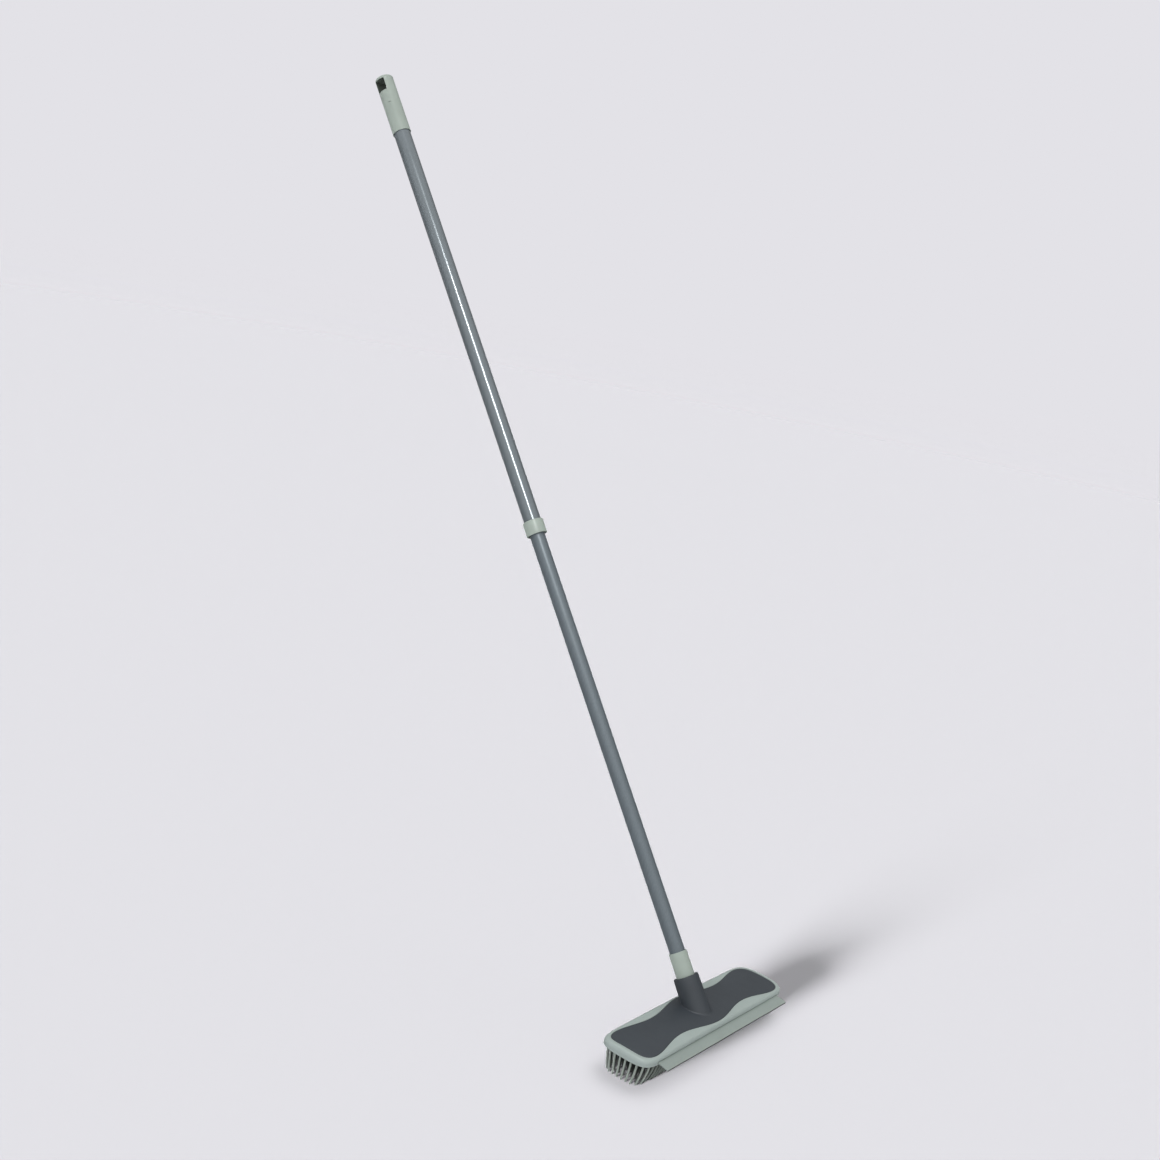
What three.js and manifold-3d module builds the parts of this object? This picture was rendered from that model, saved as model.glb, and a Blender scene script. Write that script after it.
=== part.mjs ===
// A telescopic rubber broom: a moulded head with rubber fingers below and a squeegee blade along
// its front edge, on a two-stage pole with a twist lock inside and a hanging cap on top.
//
// Frame, in millimetres: X along the head, +Y towards the back (the pole leans that way), +Z up.
// The origin is on the floor, under the middle of the head.
// The pole's pieces are drawn along their own +Z, from the point where the pole's axis meets the
// top of the squeegee, and one turned group tilts them all.

import * as THREE from "three";
import { mergeVertices } from "three/addons/utils/BufferGeometryUtils.js";
import Module from "manifold-3d";

// ---------------------------------------------------------------- driving dimensions

const GAP = 0.3; // between neighbours that touch on the real object

// Head
const HEAD_LENGTH = 298;
const HEAD_WIDTH = 68;
const END_POWER = 20; // superellipse power along the head: nearly square ends
const SIDE_POWER = 3.4; // and across it: softly rounded corners
const RIM_BOTTOM = 27;
const RIM_WALL = 2;
const CROWN_TOP = 38.6; // highest point of the crowned top
const CROWN_DROP_ALONG = 2.2; // how far the crown falls at the ends
const CROWN_DROP_ACROSS = 2.4; // and at the sides
const RIM_STEPS = [[0.5, 27], [0, 28.2], [0, 31.5], [0.35, 33], [1.3, 34.6], [2.9, 35.9], [5.2, 40]];

// Cover, the dark plate let into the shell's top, and the pole socket on it
const COVER_LENGTH = 284;
const COVER_MEAN_HALF_WIDTH = 24.9;
const COVER_WAVE = 4.8; // the outline swells and narrows by this much
const COVER_WAVE_LENGTH = 131;
const COVER_END_POWER = 16;
const COVER_SIDE_POWER = 4.5;
const COVER_BOTTOM = 34.3;
const COVER_SEAM = 0.35;
const SOCKET_MOUTH = 43; // along the pole
const SOCKET_MOUTH_RADIUS = 14.9;
const SOCKET_BASE = -9; // along the pole, hidden below the cover's top
const SOCKET_BASE_RADIUS = 16.2;
const SOCKET_BORE_END = 14.6;

// Shell floor and screws
const FLOOR_BOTTOM = 30;
const SCREW_X = 112;
const SCREW_Y = 13;
const SCREW_MIDDLE_X = 38;
const SCREW_RADIUS = 1.4;
const SCREW_HEAD_RADIUS = 3.1;
const SCREW_HEAD_TOP = 31.6;
const SCREW_TIP = 35.4;
const SCREW_SLOT_LENGTH = 4.4;
const SCREW_SLOT_WIDTH = 0.8;
const SCREW_SLOT_DEPTH = 0.7;
const BOSS_RADIUS = 3.4;
const BOSS_BOTTOM = 33.2;

// Rubber pad with its fingers: one ring of them round the edge, and rows inside it
const PAD_BOTTOM = 27.4;
const RING_FINGERS = 92;
const RING_INSET = 4.5;
const INNER_ROWS = 7;
const INNER_COLUMNS = 37;
const INNER_PITCH_ACROSS = 7.1;
const INNER_PITCH_ALONG = 7.6;
const FINGER_ROOT_RADIUS = 2; // to the corners of its square section
const FINGER_TIP_RADIUS = 1.6;
const TIP_SCALE_ACROSS = 0.85; // the tips stand closer to the head's middle line than the roots

// Squeegee blade
const BLADE_LENGTH = 254;
const BLADE_HEIGHT = 29.35; // of its middle, where it leaves the shell
const BLADE_REACH = 13.7;
const BLADE_DROP = 2.2;
const BLADE_THICKNESS = 1.8;
const BLADE_ROOT_DEPTH = 1.2; // how deep it sits in the shell's groove

// Pole
const TILT = 37; // from the vertical, towards +Y
const POLE_FOOT = new THREE.Vector3(0, -1, 32.5); // on the pole's axis, inside the head
const LOWER_RADIUS = 9.3;
const UPPER_RADIUS = 10.7;
const TUBE_WALL = 0.7;
const ADAPTER_RADIUS = 10.9;
const ADAPTER_TOP = 72;
const ADAPTER_SHOULDER = 38.4;
const ADAPTER_PLUG_TOP = 98; // how far it reaches into the lower tube
const THREAD_CREST = 10;
const THREAD_ROOT = 8.7;
const THREAD_PITCH = 5;
const THREAD_START = 17;
const THREAD_RIDGES = 4;
const LOWER_TUBE_START = 49;
const LOWER_TUBE_END = 655;
const COLLAR_BOTTOM = 594.5;
const COLLAR_TOP = 612.5;
const COLLAR_RADIUS = 12.8;
const COLLAR_BORE = 9.5; // narrower than the lock's sleeve, so the tubes can't part
const UPPER_TUBE_START = 599;
const UPPER_TUBE_END = 1183;
const CAP_BOTTOM = 1149;
const CAP_TOP = 1229;
const CAP_RADIUS = 11.9;
const CAP_ROUNDING = 3; // of its top edge
const HANG_HOLE_HEIGHT = 16.5;
const HANG_HOLE_WIDTH = 14.5;
const HANG_HOLE_TOP = CAP_TOP - 4.2;

// Twist lock, inside the upper tube on the end of the lower one
const PLUG_BOTTOM = 628;
const ROD_RADIUS = 3;
const ROD_END = 703;
const SLEEVE_BOTTOM = 659;
const SLEEVE_TOP = 688;
const SLEEVE_RADIUS = 9.6;
const SLEEVE_SLOTS = 4;
const RING_HEIGHT = 665; // the friction ring's middle, and the groove it sits in
const RING_GROOVE_DEPTH = 1.6;
const RING_GROOVE_HEIGHT = 3;
const RING_THICKNESS = 1.5;
const SLOT_WIDTH = 2.4;
const SLOT_BOTTOM = 669;
const CONE_BOTTOM = 676;
const CONE_TOP = 694;
const CONE_SMALL_RADIUS = 5;
const CONE_LARGE_RADIUS = 8;
const END_NUT_BOTTOM = 697;
const END_NUT_TOP = 701;
const END_NUT_RADIUS = 5.6; // to its six corners

const ROUND = 24; // sides on a round part
const OUTLINE_POINTS = 72; // round the head
const OUTLINE_BEND = 0.18;

// ---------------------------------------------------------------- materials

const finish = (color, roughness, metalness = 0) =>
  new THREE.MeshStandardMaterial({ color, roughness, metalness });

const sagePlastic = finish(0x9fafa4, 0.5);
const sageRubber = finish(0x97a59d, 0.7);
const darkPlastic = finish(0x474c50, 0.55);
const tubePaint = finish(0x6d747c, 0.32, 0.3);
const steel = finish(0xa8abad, 0.35, 1);
const naturalNylon = finish(0xd8d6cc, 0.5);
const blackRubber = finish(0x202224, 0.8);

// ---------------------------------------------------------------- solids

const wasm = await Module();
wasm.setup();

function solidOf(geometry) {
  geometry.deleteAttribute("normal");
  geometry.deleteAttribute("uv");
  const merged = mergeVertices(geometry, 1e-4);
  return new wasm.Manifold(
    new wasm.Mesh({
      numProp: 3,
      vertProperties: merged.attributes.position.array,
      triVerts: new Uint32Array(merged.index.array),
    }),
  );
}

function geometryOf(solid) {
  const mesh = solid.getMesh();
  const geometry = new THREE.BufferGeometry();
  geometry.setAttribute("position", new THREE.BufferAttribute(mesh.vertProperties, 3));
  geometry.setIndex(new THREE.BufferAttribute(mesh.triVerts, 1));
  return geometry;
}

// Turned about +Z from a profile of [radius, height] points that starts and ends on the axis,
// or closes on itself.
function turned(profile, sides = ROUND) {
  const points = profile.map(([radius, height]) => new THREE.Vector2(radius, height));
  return solidOf(new THREE.LatheGeometry(points, sides).rotateX(Math.PI / 2));
}

// A thin-walled steel tube from one height to another.
function tubeSolid(outer, bottom, top) {
  const inner = outer - TUBE_WALL;
  return turned([[inner, bottom], [outer, bottom], [outer, top], [inner, top], [inner, bottom]]);
}

function rod(radius, bottom, top, sides = ROUND) {
  return turned([[0, bottom], [radius, bottom], [radius, top], [0, top]], sides);
}

function block(width, depth, bottom, top) {
  const box = new THREE.BoxGeometry(width, depth, top - bottom);
  return solidOf(box.translate(0, 0, (bottom + top) / 2));
}

// An upright prism of a closed outline.
function prism(outline, bottom, top) {
  const shape = new THREE.Shape(outline);
  const extruded = new THREE.ExtrudeGeometry(shape, { depth: top - bottom, bevelEnabled: false });
  return solidOf(extruded.translate(0, 0, bottom));
}

// Closed surface through rings of equal point counts, from the lowest ring to the highest.
function loft(rings) {
  const count = rings[0].length;
  const corners = rings.flat();
  const bottomCentre = corners.length;
  const topCentre = bottomCentre + 1;
  corners.push(new THREE.Vector3(0, 0, rings[0][0].z), new THREE.Vector3(0, 0, rings.at(-1)[0].z));
  const faces = [];
  const lastRing = (rings.length - 1) * count;
  for (let i = 0; i < count; i += 1) {
    const next = (i + 1) % count;
    for (let ring = 0; ring < lastRing; ring += count) {
      faces.push(ring + i, ring + next, ring + count + next);
      faces.push(ring + i, ring + count + next, ring + count + i);
    }
    faces.push(bottomCentre, next, i, topCentre, lastRing + i, lastRing + next);
  }
  const geometry = new THREE.BufferGeometry().setFromPoints(corners);
  geometry.setIndex(faces);
  return solidOf(geometry);
}

// ---------------------------------------------------------------- the head's shapes

const raised = (value, power) => Math.sign(value) * Math.abs(value) ** power;

// The head's plan outline, moved in by an inset.
function headOutline(inset) {
  const halfLength = HEAD_LENGTH / 2 - inset;
  const halfWidth = HEAD_WIDTH / 2 - inset;
  return Array.from({ length: OUTLINE_POINTS }, (_, i) => {
    // the angle is bent so that points gather at the corners and ends
    const turn = (2 * Math.PI * i) / OUTLINE_POINTS;
    const angle = turn - OUTLINE_BEND * Math.sin(4 * turn);
    return new THREE.Vector2(
      halfLength * raised(Math.cos(angle), 2 / END_POWER),
      halfWidth * raised(Math.sin(angle), 2 / SIDE_POWER),
    );
  });
}

// The cover's wavy plan outline, moved out by a margin.
function coverOutline(margin) {
  const halfLength = COVER_LENGTH / 2 + margin;
  const halfWidth = (x) =>
    COVER_MEAN_HALF_WIDTH + COVER_WAVE * Math.cos((2 * Math.PI * x) / COVER_WAVE_LENGTH) + margin;
  const side = [];
  const steps = 44;
  const cornerSteps = 4; // the first and last few, close together round the corners
  for (let i = 0; i <= steps; i += 1) {
    // from the middle of one end, along the back, to the middle of the other end
    const corner = i < cornerSteps || i > steps - cornerSteps;
    const spacing = corner ? 2 / COVER_END_POWER : 0.75;
    const x = halfLength * raised(Math.cos((Math.PI * i) / steps), spacing);
    const inside = Math.max(0, 1 - Math.abs(x / halfLength) ** COVER_END_POWER);
    side.push(new THREE.Vector2(x, halfWidth(x) * inside ** (1 / COVER_SIDE_POWER)));
  }
  const back = side.slice(1, -1);
  const front = back.map((point) => new THREE.Vector2(point.x, -point.y)).reverse();
  return [side[0], ...back, side.at(-1), ...front];
}

const crownHeight = (x, y) =>
  CROWN_TOP -
  CROWN_DROP_ALONG * (x / (HEAD_LENGTH / 2)) ** 2 -
  CROWN_DROP_ACROSS * (y / (HEAD_WIDTH / 2)) ** 2;

// A block whose top follows the crown, a little larger than the head in plan.
function crownBlock(bottom) {
  const along = 14;
  const across = 6;
  const spare = 8;
  const grid = new THREE.BoxGeometry(HEAD_LENGTH + spare, HEAD_WIDTH + spare, 2, along, across, 1);
  const position = grid.attributes.position;
  for (let i = 0; i < position.count; i += 1) {
    const top = crownHeight(position.getX(i), position.getY(i));
    position.setZ(i, position.getZ(i) > 0 ? top : bottom);
  }
  return solidOf(grid);
}

// ---------------------------------------------------------------- the pole's own frame

const TILT_ANGLE = THREE.MathUtils.degToRad(TILT);

// A solid drawn along the pole, moved to where it stands on the head.
function ontoHead(solid) {
  return solid.rotate([-TILT, 0, 0]).translate(POLE_FOOT.toArray());
}

// ---------------------------------------------------------------- pieces of the head

// The male thread's rings, with a margin for the socket that is cut around them.
function threadProfile(margin) {
  const profile = [];
  for (let ridge = 0; ridge < THREAD_RIDGES; ridge += 1) {
    const start = THREAD_START + ridge * THREAD_PITCH;
    profile.push([THREAD_ROOT + margin, start - margin * 0.5]);
    profile.push([THREAD_CREST + margin, start + 1.2 - margin * 0.5]);
    profile.push([THREAD_CREST + margin, start + 2.2 + margin * 0.5]);
    profile.push([THREAD_ROOT + margin, start + 3.4 + margin * 0.5]);
  }
  return profile;
}

function screwPlaces() {
  const places = [];
  for (const x of [-SCREW_X, -SCREW_MIDDLE_X, SCREW_MIDDLE_X, SCREW_X]) {
    if (Math.abs(x) === SCREW_X) places.push([x, -SCREW_Y], [x, SCREW_Y]);
    else places.push([x, 0]);
  }
  return places;
}

function coverSolid() {
  let cover = prism(coverOutline(0), COVER_BOTTOM, CROWN_TOP + 1).intersect(crownBlock(COVER_BOTTOM - 1));
  const socket = turned([
    [0, SOCKET_BASE],
    [SOCKET_BASE_RADIUS, SOCKET_BASE],
    [SOCKET_MOUTH_RADIUS, SOCKET_MOUTH],
    [0, SOCKET_MOUTH],
  ]);
  const above = block(80, 120, COVER_BOTTOM + 1, 90);
  cover = cover.add(ontoHead(socket).intersect(above));
  const margin = COVER_SEAM;
  const bore = turned([
    [0, SOCKET_BORE_END],
    [THREAD_ROOT + margin, SOCKET_BORE_END],
    ...threadProfile(margin),
    [ADAPTER_RADIUS + margin, ADAPTER_SHOULDER - margin],
    [ADAPTER_RADIUS + margin, SOCKET_MOUTH + 1],
    [0, SOCKET_MOUTH + 1],
  ]);
  cover = cover.subtract(ontoHead(bore));
  for (const [x, y] of screwPlaces()) {
    cover = cover.add(rod(BOSS_RADIUS, BOSS_BOTTOM, COVER_BOTTOM + 0.5, 16).translate([x, y, 0]));
    cover = cover.subtract(
      rod(SCREW_RADIUS + GAP, BOSS_BOTTOM - 1, SCREW_TIP + GAP, 12).translate([x, y, 0]),
    );
  }
  return cover;
}

function bladeSection(margin) {
  // a thin strip in the YZ plane, from inside the groove out to the free edge
  const out = new THREE.Vector2(-BLADE_REACH, -BLADE_DROP).normalize();
  const across = new THREE.Vector2(out.y, -out.x).multiplyScalar(BLADE_THICKNESS / 2 + margin);
  const root = new THREE.Vector2(-HEAD_WIDTH / 2, BLADE_HEIGHT);
  const start = root.clone().addScaledVector(out, -BLADE_ROOT_DEPTH - margin);
  const end = root.clone().addScaledVector(out, Math.hypot(BLADE_REACH, BLADE_DROP));
  return [
    start.clone().add(across),
    start.clone().sub(across),
    end.clone().sub(across),
    end.clone().add(across),
  ];
}

function bladeSolid(margin = 0) {
  const shape = new THREE.Shape(bladeSection(margin));
  const length = BLADE_LENGTH + 2 * margin;
  const strip = new THREE.ExtrudeGeometry(shape, { depth: length, bevelEnabled: false });
  // the section's axes become Y and Z, and its length X
  const turn = new THREE.Matrix4().makeBasis(
    new THREE.Vector3(0, 1, 0),
    new THREE.Vector3(0, 0, 1),
    new THREE.Vector3(1, 0, 0),
  );
  return solidOf(strip.applyMatrix4(turn).translate(-length / 2, 0, 0));
}

function shellSolid() {
  const rings = RIM_STEPS.map(([inset, height]) =>
    headOutline(inset).map((point) => new THREE.Vector3(point.x, point.y, height)),
  );
  let shell = loft(rings).intersect(crownBlock(RIM_BOTTOM - 1));
  shell = shell.subtract(prism(headOutline(RIM_WALL), RIM_BOTTOM - 1, FLOOR_BOTTOM));
  shell = shell.subtract(prism(coverOutline(COVER_SEAM), COVER_BOTTOM - GAP, CROWN_TOP + 2));
  for (const [x, y] of screwPlaces()) {
    const pocket = rod(BOSS_RADIUS + GAP, BOSS_BOTTOM - GAP, COVER_BOTTOM + 1, 16);
    const hole = rod(SCREW_RADIUS + GAP, FLOOR_BOTTOM - 1, COVER_BOTTOM, 12);
    const counterbore = rod(SCREW_HEAD_RADIUS + GAP, FLOOR_BOTTOM - 1, SCREW_HEAD_TOP + GAP, 16);
    shell = shell.subtract(pocket.add(hole).add(counterbore).translate([x, y, 0]));
  }
  return shell.subtract(bladeSolid(GAP));
}

function screwSolid() {
  const headBottom = FLOOR_BOTTOM + GAP / 2;
  const screw = turned(
    [
      [0, headBottom],
      [SCREW_HEAD_RADIUS * 0.8, headBottom],
      [SCREW_HEAD_RADIUS, headBottom + 0.6],
      [SCREW_HEAD_RADIUS, SCREW_HEAD_TOP],
      [SCREW_RADIUS, SCREW_HEAD_TOP],
      [SCREW_RADIUS, SCREW_TIP - 1.2],
      [0, SCREW_TIP],
    ],
    12,
  );
  const slotTop = headBottom + SCREW_SLOT_DEPTH;
  const slot = block(SCREW_SLOT_LENGTH, SCREW_SLOT_WIDTH, headBottom - 1, slotTop);
  const crossSlot = block(SCREW_SLOT_WIDTH, SCREW_SLOT_LENGTH, headBottom - 1, slotTop);
  return screw.subtract(slot).subtract(crossSlot);
}

// One rubber finger: a square-sectioned taper from its root in the pad to its flat tip, which
// leans in towards the head's middle line.
function fingerSolid(root) {
  const ring = (x, y, z, radius) =>
    [0, 1, 2, 3].map((i) => {
      const angle = (Math.PI / 2) * i + Math.PI / 4;
      return new THREE.Vector3(x + radius * Math.cos(angle), y + radius * Math.sin(angle), z);
    });
  const corners = [
    ...ring(root.x, root.y * TIP_SCALE_ACROSS, 0, FINGER_TIP_RADIUS),
    ...ring(root.x, root.y, PAD_BOTTOM + 0.5, FINGER_ROOT_RADIUS),
  ];
  const faces = [0, 2, 1, 0, 3, 2, 4, 5, 6, 4, 6, 7];
  for (let i = 0; i < 4; i += 1) {
    const next = (i + 1) % 4;
    faces.push(i, next, next + 4, i, next + 4, i + 4);
  }
  const geometry = new THREE.BufferGeometry().setFromPoints(corners);
  geometry.setIndex(faces);
  return solidOf(geometry);
}

function fingerRoots() {
  const outline = headOutline(RING_INSET);
  const edge = new THREE.Path([...outline, outline[0]]);
  const roots = [];
  for (let i = 0; i < RING_FINGERS; i += 1) roots.push(edge.getPoint((i + 0.5) / RING_FINGERS));
  for (let row = 0; row < INNER_ROWS; row += 1) {
    const y = (row - (INNER_ROWS - 1) / 2) * INNER_PITCH_ACROSS;
    for (let column = 0; column < INNER_COLUMNS; column += 1) {
      const x = (column - (INNER_COLUMNS - 1) / 2) * INNER_PITCH_ALONG;
      roots.push(new THREE.Vector2(x, y));
    }
  }
  return roots;
}

function padSolid() {
  const pad = prism(headOutline(RIM_WALL + GAP), PAD_BOTTOM, FLOOR_BOTTOM - GAP);
  return wasm.Manifold.union([pad, ...fingerRoots().map(fingerSolid)]);
}

// ---------------------------------------------------------------- pieces of the pole

function adapterSolid() {
  const plugRadius = LOWER_RADIUS - TUBE_WALL - GAP;
  return turned([
    [0, SOCKET_BORE_END + 0.5],
    [THREAD_ROOT, SOCKET_BORE_END + 0.5],
    ...threadProfile(0),
    [ADAPTER_RADIUS, ADAPTER_SHOULDER],
    [ADAPTER_RADIUS, ADAPTER_TOP - 0.8],
    [ADAPTER_RADIUS - 0.5, ADAPTER_TOP],
    [LOWER_RADIUS + GAP, ADAPTER_TOP],
    [LOWER_RADIUS + GAP, LOWER_TUBE_START - GAP],
    [plugRadius, LOWER_TUBE_START - GAP],
    [plugRadius, ADAPTER_PLUG_TOP - 2],
    [plugRadius - 1, ADAPTER_PLUG_TOP],
    [0, ADAPTER_PLUG_TOP],
  ]);
}

function plugSolid() {
  const radius = LOWER_RADIUS - TUBE_WALL - GAP;
  const flangeBottom = LOWER_TUBE_END + GAP;
  return turned([
    [ROD_RADIUS + GAP, PLUG_BOTTOM],
    [radius - 1, PLUG_BOTTOM],
    [radius, PLUG_BOTTOM + 2],
    [radius, flangeBottom],
    [LOWER_RADIUS, flangeBottom],
    [LOWER_RADIUS, SLEEVE_BOTTOM - GAP],
    [ROD_RADIUS + GAP, SLEEVE_BOTTOM - GAP],
    [ROD_RADIUS + GAP, PLUG_BOTTOM],
  ]);
}

// The cone's radius at a height along the pole.
const coneRadius = (height) =>
  CONE_SMALL_RADIUS +
  ((CONE_LARGE_RADIUS - CONE_SMALL_RADIUS) * (height - CONE_BOTTOM)) / (CONE_TOP - CONE_BOTTOM);

function sleeveSolid() {
  const bore = ROD_RADIUS + GAP;
  const grooveRadius = SLEEVE_RADIUS - RING_GROOVE_DEPTH;
  const grooveBottom = RING_HEIGHT - RING_GROOVE_HEIGHT / 2;
  const grooveTop = RING_HEIGHT + RING_GROOVE_HEIGHT / 2;
  const seatGap = 1.5 * GAP; // between the cone and its seat in the sleeve
  let sleeve = turned([
    [bore, SLEEVE_BOTTOM],
    [SLEEVE_RADIUS, SLEEVE_BOTTOM],
    [SLEEVE_RADIUS, grooveBottom],
    [grooveRadius, grooveBottom],
    [grooveRadius, grooveTop],
    [SLEEVE_RADIUS, grooveTop],
    [SLEEVE_RADIUS, SLEEVE_TOP],
    [coneRadius(SLEEVE_TOP) + seatGap, SLEEVE_TOP],
    [coneRadius(CONE_BOTTOM) + seatGap, CONE_BOTTOM - 1],
    [bore, CONE_BOTTOM - 1],
    [bore, SLEEVE_BOTTOM],
  ]);
  for (let i = 0; i < SLEEVE_SLOTS / 2; i += 1) {
    const slot = block(SLOT_WIDTH, 3 * SLEEVE_RADIUS, SLOT_BOTTOM, SLEEVE_TOP + 1);
    sleeve = sleeve.subtract(slot.rotate([0, 0, (360 / SLEEVE_SLOTS) * i]));
  }
  return sleeve;
}

function ringSolid() {
  const half = RING_THICKNESS / 2;
  const centre = SLEEVE_RADIUS + 0.2 - half; // it stands a little proud of the sleeve
  const sides = 8;
  const profile = [];
  for (let i = 0; i <= sides; i += 1) {
    const angle = (2 * Math.PI * (i % sides)) / sides;
    profile.push([centre + half * Math.cos(angle), RING_HEIGHT + half * Math.sin(angle)]);
  }
  return turned(profile);
}

function coneSolid() {
  const bore = ROD_RADIUS + GAP;
  const cone = turned([
    [bore, CONE_BOTTOM],
    [CONE_SMALL_RADIUS, CONE_BOTTOM],
    [CONE_LARGE_RADIUS, CONE_TOP],
    [bore, CONE_TOP],
    [bore, CONE_BOTTOM],
  ]);
  // a key on two sides, which rides in the sleeve's slots
  const keys = block(SLOT_WIDTH - 2 * GAP, 2 * CONE_LARGE_RADIUS, CONE_BOTTOM + 4, CONE_TOP);
  return cone.add(keys.subtract(rod(ROD_RADIUS + 1, CONE_BOTTOM, CONE_TOP + 1)));
}

function endNutSolid() {
  const nut = rod(END_NUT_RADIUS, END_NUT_BOTTOM, END_NUT_TOP, 6);
  return nut.subtract(rod(ROD_RADIUS + GAP, END_NUT_BOTTOM - 1, END_NUT_TOP + 1));
}

function collarSolid() {
  const socket = UPPER_RADIUS + GAP;
  const shelf = UPPER_TUBE_START - GAP;
  return turned([
    [COLLAR_BORE, COLLAR_BOTTOM],
    [COLLAR_RADIUS - 0.8, COLLAR_BOTTOM],
    [COLLAR_RADIUS, COLLAR_BOTTOM + 0.8],
    [COLLAR_RADIUS, COLLAR_TOP - 0.6],
    [COLLAR_RADIUS - 0.6, COLLAR_TOP],
    [socket, COLLAR_TOP],
    [socket, shelf],
    [COLLAR_BORE, shelf],
    [COLLAR_BORE, COLLAR_BOTTOM],
  ]);
}

function capSolid() {
  const socket = UPPER_RADIUS + GAP;
  const rounding = [0, 30, 60, 90].map((degrees) => {
    const angle = THREE.MathUtils.degToRad(degrees);
    const inwards = CAP_ROUNDING * (1 - Math.cos(angle));
    return [CAP_RADIUS - inwards, CAP_TOP - CAP_ROUNDING * (1 - Math.sin(angle))];
  });
  const cap = turned([
    [0, UPPER_TUBE_END + GAP],
    [socket, UPPER_TUBE_END + GAP],
    [socket, CAP_BOTTOM],
    [CAP_RADIUS - 0.4, CAP_BOTTOM],
    [CAP_RADIUS, CAP_BOTTOM + 0.6],
    ...rounding,
    [0, CAP_TOP],
  ]);
  const hole = block(3 * CAP_RADIUS, HANG_HOLE_WIDTH, HANG_HOLE_TOP - HANG_HOLE_HEIGHT, HANG_HOLE_TOP);
  return cap.subtract(hole);
}

// ---------------------------------------------------------------- assembly

function add(group, name, solid, material) {
  const mesh = new THREE.Mesh(geometryOf(solid), material);
  mesh.name = name;
  group.add(mesh);
  return mesh;
}

const broom = new THREE.Group();

const head = new THREE.Group();
add(head, "head_shell", shellSolid(), sagePlastic);
add(head, "cover_with_socket", coverSolid(), darkPlastic);
add(head, "bristle_pad", padSolid(), sageRubber);
add(head, "squeegee_blade", bladeSolid(), sageRubber);
screwPlaces().forEach(([x, y], i) => {
  add(head, `cover_screw_${i + 1}`, screwSolid(), steel).position.set(x, y, 0);
});
broom.add(head);

const pole = new THREE.Group();
pole.position.copy(POLE_FOOT);
pole.rotation.x = -TILT_ANGLE;
add(pole, "handle_adapter", adapterSolid(), sagePlastic);
add(pole, "lower_tube", tubeSolid(LOWER_RADIUS, LOWER_TUBE_START, LOWER_TUBE_END), tubePaint);
add(pole, "lock_plug", plugSolid(), naturalNylon);
add(pole, "lock_rod", rod(ROD_RADIUS, PLUG_BOTTOM + 2, ROD_END, 16), steel);
add(pole, "lock_end_nut", endNutSolid(), steel);
add(pole, "lock_sleeve", sleeveSolid(), naturalNylon);
add(pole, "lock_friction_ring", ringSolid(), blackRubber);
add(pole, "lock_cone", coneSolid(), naturalNylon);
add(pole, "collar", collarSolid(), sagePlastic);
add(pole, "upper_tube", tubeSolid(UPPER_RADIUS, UPPER_TUBE_START, UPPER_TUBE_END), tubePaint);
add(pole, "hanging_cap", capSolid(), sagePlastic);
broom.add(pole);

export default broom;
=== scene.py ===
# The looks of a telescopic rubber broom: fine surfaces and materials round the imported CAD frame.
# X runs along the head, +Y points to the back and +Z up, from the floor under the head. Shapes are
# drawn in millimetres and become metres as their meshes are made; camera and lights are in metres.

import math

import bpy
import bmesh
import numpy as np
from mathutils import Matrix, Vector


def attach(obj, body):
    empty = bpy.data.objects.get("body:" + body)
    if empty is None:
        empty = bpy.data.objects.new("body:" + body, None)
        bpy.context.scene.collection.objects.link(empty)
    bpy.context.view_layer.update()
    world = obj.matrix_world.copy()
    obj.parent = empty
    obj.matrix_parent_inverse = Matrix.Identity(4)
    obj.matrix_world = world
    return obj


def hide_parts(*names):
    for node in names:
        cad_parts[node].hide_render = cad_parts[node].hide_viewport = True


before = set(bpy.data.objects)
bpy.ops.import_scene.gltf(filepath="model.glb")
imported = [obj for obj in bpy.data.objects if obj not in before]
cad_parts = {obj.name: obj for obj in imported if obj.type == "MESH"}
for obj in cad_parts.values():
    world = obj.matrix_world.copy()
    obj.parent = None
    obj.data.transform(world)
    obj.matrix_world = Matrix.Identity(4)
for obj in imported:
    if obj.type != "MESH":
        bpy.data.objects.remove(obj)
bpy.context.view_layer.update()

# ---------------------------------------------------------------- sizes, in millimetres

MM = 0.001
GAP = 0.3  # between pieces that sit in each other

# The pole's axis, which starts inside the head
TILT = math.radians(37)
POLE_FOOT = Vector((0, -1, 32.5))
ALONG_POLE = Vector((0, math.sin(TILT), math.cos(TILT)))

# Shell: its outline is a superellipse, and its top is crowned
HEAD_HALF_LENGTH = 149
HEAD_HALF_WIDTH = 34
HEAD_END_POWER = 20
HEAD_SIDE_POWER = 3.4
CROWN_TOP = 38.6
CROWN_DROP_ALONG = 2.2
CROWN_DROP_ACROSS = 2.4
RIM_BOTTOM = 27
RIM_WALL = 2
RIM_SHOULDER = 31.2  # where the upright side goes over into the rounded rim
RIM_WIDTH = 3.2
RIM_EDGE = 0.5
FLOOR_BOTTOM = 30

# Cover, wavy in outline, let into the shell's top
COVER_HALF_LENGTH = 142
COVER_HALF_WIDTH = 24.9
COVER_WAVE = 4.8
COVER_WAVE_LENGTH = 131
COVER_END_POWER = 16
COVER_SIDE_POWER = 4.5
COVER_BOTTOM = 34.3
COVER_EDGE = 0.5
SEAM = 0.35

# Screws from below, through the shell into bosses under the cover
SCREW_PLACES = [(-112, -13), (-112, 13), (-38, 0), (38, 0), (112, -13), (112, 13)]
SCREW_RADIUS = 1.4
SCREW_HEAD_RADIUS = 3.1
SCREW_HEAD_TOP = 31.6
SCREW_TIP = 35.4
BOSS_RADIUS = 3.4
BOSS_BOTTOM = 33.2

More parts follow.
